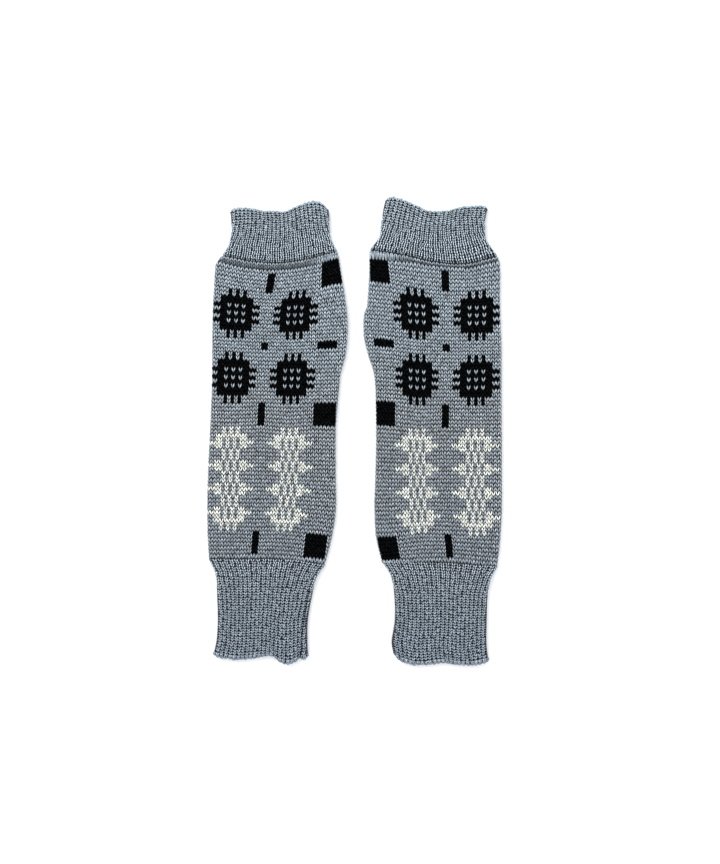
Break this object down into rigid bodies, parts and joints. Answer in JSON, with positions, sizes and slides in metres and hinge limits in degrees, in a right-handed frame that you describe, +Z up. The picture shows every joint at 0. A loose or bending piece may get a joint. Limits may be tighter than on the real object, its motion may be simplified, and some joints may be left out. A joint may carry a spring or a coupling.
{
  "type": "pair of fingerless mittens",
  "caption": "Pair of knitted fingerless mittens laid flat, with ribbed knuckle edges, patterned bodies with an open thumb slit in the side seam, and deep ribbed wrists.",
  "frame": {"origin": "on the surface the pair lies on, under the middle of the box round both mittens", "axes": "+X across the pair from the left mitten to the right one, +Y along the mittens from wrist to fingers, +Z up from the surface"},
  "size_m": [0.1892, 0.2997, 0.0059],
  "materials": {
    "patterned_wool": "matt stranded wool knit, blue-grey melange with black and cream blocks",
    "rib_wool": "matt one by one wool rib, blue-grey melange"
  },
  "bodies": {
    "root": {"left_hand_rib": "rib_wool", "left_body": "patterned_wool", "left_wrist_rib": "rib_wool", "right_hand_rib": "rib_wool", "right_body": "patterned_wool", "right_wrist_rib": "rib_wool"}
  },
  "joints": []
}
